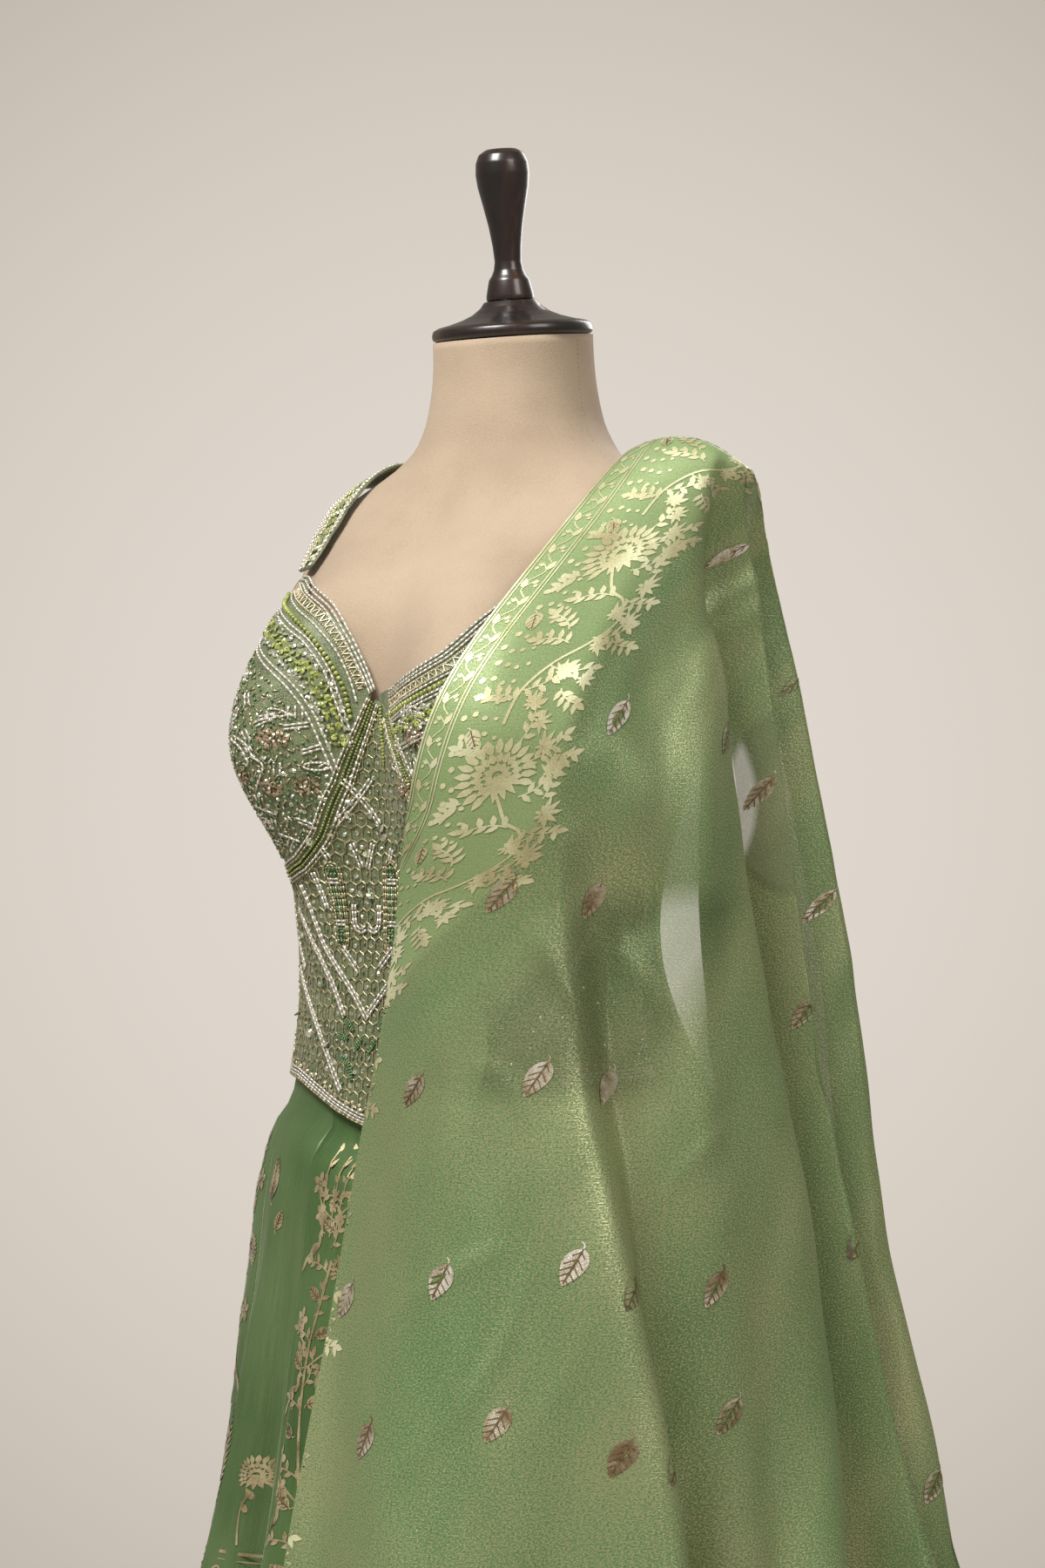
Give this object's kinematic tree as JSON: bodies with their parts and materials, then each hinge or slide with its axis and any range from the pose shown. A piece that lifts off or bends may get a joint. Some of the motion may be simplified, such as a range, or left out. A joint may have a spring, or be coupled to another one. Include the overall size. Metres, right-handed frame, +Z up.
{
  "type": "lehenga set on a limbless dress form",
  "caption": "Green lehenga set: beaded sweetheart corset choli, gored flared skirt and a tissue dupatta over the left shoulder, standing on a limbless dress form with a turned wooden finial",
  "frame": {"origin": "on the floor under the middle of the stand's round base, on the axis of its pole", "axes": "+Z is up, -Y is the way the wearer's front faces, +X is the wearer's left, where the dupatta hangs"},
  "size_m": [0.7325, 0.7293, 1.6804],
  "materials": {
    "form_suede": "napped cream suede cloth",
    "black_wood": "glossy near-black turned wood",
    "black_metal": "satin black paint",
    "beaded_net": "sage net over satin, beaded all over",
    "bead_band": "rows of silver bugle beads",
    "brocade_satin": "green satin with woven gold vines",
    "plain_satin": "green satin",
    "tissue": "sheer metallic tissue"
  },
  "bodies": {
    "root": {"stand_base": "black_metal", "stand_pole": "black_metal", "form_torso": "form_suede", "neck_cap": "black_wood", "finial": "black_wood", "blouse_front_centre": "beaded_net", "blouse_front_right": "beaded_net", "blouse_cup_right": "beaded_net", "blouse_back_right": "beaded_net", "blouse_strap_right": "bead_band", "blouse_cup_band_right": "bead_band", "blouse_neck_band_right": "bead_band", "blouse_front_left": "beaded_net", "blouse_cup_left": "beaded_net", "blouse_back_left": "beaded_net", "blouse_strap_left": "bead_band", "blouse_cup_band_left": "bead_band", "blouse_neck_band_left": "bead_band", "blouse_hem_band": "bead_band", "skirt_waistband": "plain_satin", "skirt_panel_01": "brocade_satin", "skirt_panel_02": "plain_satin", "skirt_panel_03": "brocade_satin", "skirt_panel_04": "plain_satin", "skirt_panel_05": "brocade_satin", "skirt_panel_06": "plain_satin", "skirt_panel_07": "brocade_satin", "skirt_panel_08": "plain_satin", "skirt_panel_09": "brocade_satin", "skirt_panel_10": "plain_satin", "skirt_panel_11": "brocade_satin", "skirt_panel_12": "plain_satin", "skirt_panel_13": "brocade_satin", "skirt_panel_14": "plain_satin", "dupatta_front_fall": "tissue", "dupatta_shoulder": "tissue", "dupatta_back_fall": "tissue"}
  },
  "joints": []
}
